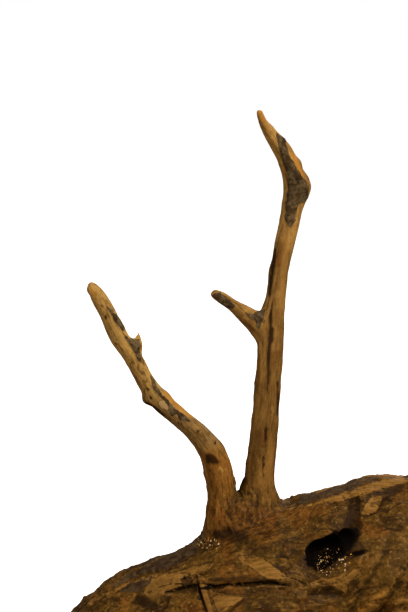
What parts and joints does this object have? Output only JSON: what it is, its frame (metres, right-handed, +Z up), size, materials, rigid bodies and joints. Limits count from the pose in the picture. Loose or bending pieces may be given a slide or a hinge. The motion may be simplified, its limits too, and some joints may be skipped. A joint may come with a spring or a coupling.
{
  "type": "piece of driftwood",
  "caption": "Weathered root burl lying on a flat underside, with bare branches growing up from it; an ornament for a shelf, an aquarium or a terrarium.",
  "frame": {"origin": "middle of the bounding box's underside, which is the flat underside of the burl", "axes": "+Z up along the tall branch, +X along the burl towards its high end, -Y the front, the side with the knot hollow"},
  "size_m": [0.2709, 0.1128, 0.3541],
  "materials": {
    "weathered_wood": "water-worn bare wood with a soft satin sheen, golden brown on the branches and darker olive brown on the burl, with thin dark bark patches left on it"
  },
  "bodies": {
    "root": {"driftwood": "weathered_wood"}
  },
  "joints": []
}
